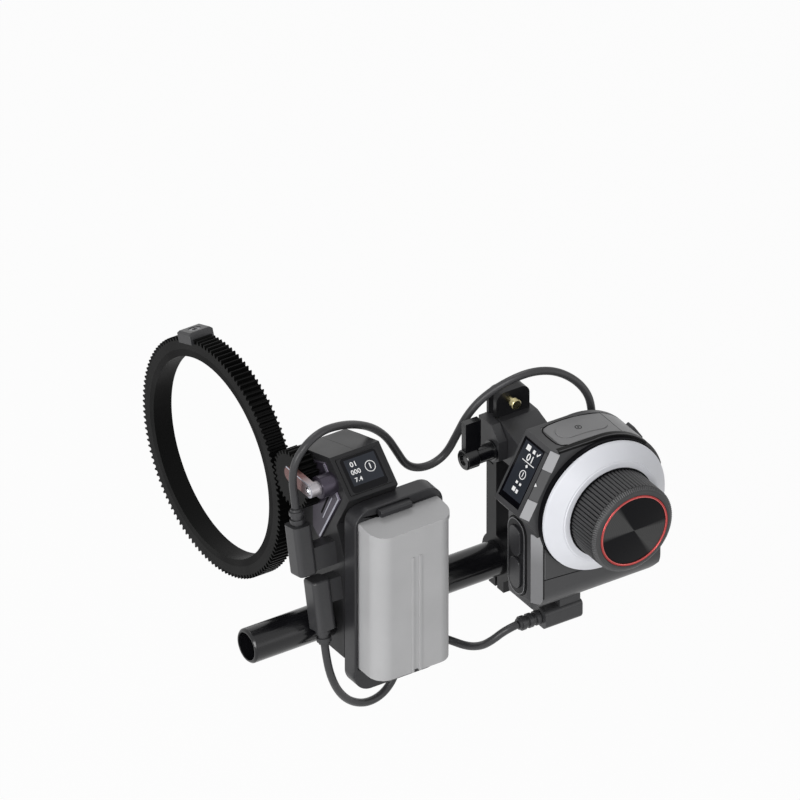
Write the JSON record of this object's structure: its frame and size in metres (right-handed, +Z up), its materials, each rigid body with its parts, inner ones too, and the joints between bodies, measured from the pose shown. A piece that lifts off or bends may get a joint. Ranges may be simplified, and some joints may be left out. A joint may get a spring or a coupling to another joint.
{
  "type": "follow focus unit",
  "caption": "Wireless follow focus set: hand-wheel controller on a rail clamp, geared lens motor with battery plate, lens gear ring, support rod and cables.",
  "frame": {"origin": "centre of the bracket's two bolt holes, on the bracket's back face", "axes": "+X back along the rod, +Y out of the bracket's back face towards the lens, +Z up"},
  "size_m": [0.1731, 0.1953, 0.1357],
  "materials": {
    "rod_black": "gloss black anodised",
    "bracket_black": "satin black",
    "clamp_black": "satin black",
    "screw_steel": "dark steel",
    "pin_brass": "polished brass",
    "lever_black": "gloss black",
    "case_plastic": "fine grain dark grey",
    "button_plastic": "satin dark grey",
    "pad_rubber": "matt",
    "trim_light": "satin light grey",
    "screen_glass": "dark gloss",
    "board_green": "circuit board",
    "bearing_steel": "ground steel",
    "disk_white": "satin white",
    "wheel_black": "satin black",
    "grip_rubber": "ribbed black",
    "trim_red": "red anodised",
    "cap_dark": "spun dark anodised",
    "motor_plastic": "satin dark grey",
    "side_plate_grey": "dark anodised, bright edge",
    "gear_black": "matt black",
    "liner_rubber": "matt",
    "lock_silver": "satin silver",
    "chrome": "polished",
    "plate_dark": "satin dark grey",
    "battery_grey": "fine grain mid grey",
    "plug_grey": "satin dark grey",
    "cable_grey": "matt dark grey"
  },
  "bodies": {
    "frame": {"support_rod": "rod_black", "rail_bracket": "bracket_black", "rod_clamp_screws": "screw_steel", "clamp_body": "clamp_black", "clamp_bolts": "screw_steel", "controller_front_shell": "case_plastic", "controller_back_shell": "case_plastic", "controller_base": "case_plastic", "case_screws": "screw_steel", "top_cover": "case_plastic", "side_pad": "pad_rubber", "edge_trim": "trim_light", "display_glass": "screen_glass", "controller_board": "board_green", "bearing_carrier": "wheel_black", "wheel_bearings": "bearing_steel", "motor_front_shell": "motor_plastic", "motor_rear_shell": "motor_plastic", "motor_side_plate": "side_plate_grey", "motor_display_glass": "screen_glass", "motor_board": "board_green", "motor_can": "bearing_steel", "drive_bearing": "bearing_steel", "lock_screw": "chrome", "rod_clamp_block": "motor_plastic", "battery_plate": "plate_dark", "battery_contacts": "pin_brass", "power_splitter": "case_plastic", "cable_sockets": "bearing_steel", "motor_control_plug": "plug_grey", "motor_power_plug": "plug_grey", "controller_power_plug": "plug_grey", "controller_control_plug": "plug_grey", "control_cable": "cable_grey", "motor_power_cable": "cable_grey", "controller_power_cable": "cable_grey"},
    "focus_wheel": {"wheel_shaft": "bearing_steel", "encoder_magnet": "bearing_steel", "marking_disk": "disk_white", "wheel_core": "wheel_black", "wheel_grip": "grip_rubber", "trim_ring": "trim_red", "wheel_cap": "cap_dark"},
    "record_button": {"record_button": "button_plastic"},
    "side_button_lower": {"side_button_lower": "button_plastic"},
    "side_button_upper": {"side_button_upper": "button_plastic"},
    "power_switch": {"power_switch": "button_plastic"},
    "clamp_jaw": {"clamp_jaw": "clamp_black"},
    "clamp_lever": {"clamp_screw": "lever_black", "clamp_lever": "lever_black"},
    "stop_pin": {"stop_pin": "pin_brass"},
    "drive": {"drive_gear": "gear_black", "drive_shaft": "bearing_steel"},
    "lens_ring": {"ring_gear": "gear_black", "ring_liner": "liner_rubber", "ring_clamp_block": "clamp_black", "ring_clamp_screw": "screw_steel"},
    "lock_lever": {"lock_lever": "lock_silver"},
    "battery_latch": {"battery_latch": "plate_dark"},
    "battery": {"battery": "battery_grey"}
  },
  "joints": [
    {"name": "focus_wheel_turn", "type": "hinge", "parent": "frame", "child": "focus_wheel", "pos_m": [0.0134, -0.0624, 0.0157], "axis": [0, -1, 0], "range_deg": [-150, 150]},
    {"name": "record_button_press", "type": "slide", "parent": "frame", "child": "record_button", "axis": [0, 0, -1], "range_m": [0, 0.0008], "stiffness_N_per_m": 400, "springref_m": -0.001},
    {"name": "side_button_lower_press", "type": "slide", "parent": "frame", "child": "side_button_lower", "axis": [1, 0, 0], "range_m": [0, 0.0008], "stiffness_N_per_m": 400, "springref_m": -0.001},
    {"name": "side_button_upper_press", "type": "slide", "parent": "frame", "child": "side_button_upper", "axis": [1, 0, 0], "range_m": [0, 0.0008], "stiffness_N_per_m": 400, "springref_m": -0.001},
    {"name": "power_switch_slide", "type": "slide", "parent": "frame", "child": "power_switch", "axis": [0, -1, 0], "range_m": [0, 0.0025]},
    {"name": "clamp_lever_turn", "type": "hinge", "parent": "clamp_jaw", "child": "clamp_lever", "pos_m": [-0.0277, -0.01145, 0.0282], "axis": [1, 0, 0], "range_deg": [0, 110]},
    {"name": "clamp_jaw_slide", "type": "slide", "parent": "frame", "child": "clamp_jaw", "axis": [-1, 0, 0], "range_m": [0, 0.0015]},
    {"name": "stop_pin_press", "type": "slide", "parent": "frame", "child": "stop_pin", "axis": [0, 1, 0], "range_m": [0, 0.003], "stiffness_N_per_m": 250, "springref_m": -0.002},
    {"name": "lens_ring_turn", "type": "hinge", "parent": "frame", "child": "lens_ring", "pos_m": [-0.09515, 0.0658, 0.013], "axis": [1, 0, 0], "range_deg": [-110, 45]},
    {"name": "drive_gear_turn", "type": "hinge", "parent": "frame", "child": "drive", "pos_m": [-0.0955, 0.00632, 0.03465], "axis": [1, 0, 0], "continuous": true},
    {"name": "lock_lever_swing", "type": "hinge", "parent": "frame", "child": "lock_lever", "pos_m": [-0.1009, -0.0117, 0.0402], "axis": [1, 0, 0], "range_deg": [0, 40]},
    {"name": "battery_latch_press", "type": "slide", "parent": "frame", "child": "battery_latch", "axis": [0, 1, 0], "range_m": [0, 0.0015], "stiffness_N_per_m": 300, "springref_m": -0.001},
    {"name": "battery_slide", "type": "slide", "parent": "frame", "child": "battery", "axis": [0, -1, 0], "range_m": [0, 0.03]}
  ],
  "couplings": [
    {"joint": "clamp_lever_turn", "follows": "clamp_jaw_slide", "rad_per_m": 1279},
    {"joint": "drive_gear_turn", "follows": "lens_ring_turn", "ratio": -4.2667}
  ]
}
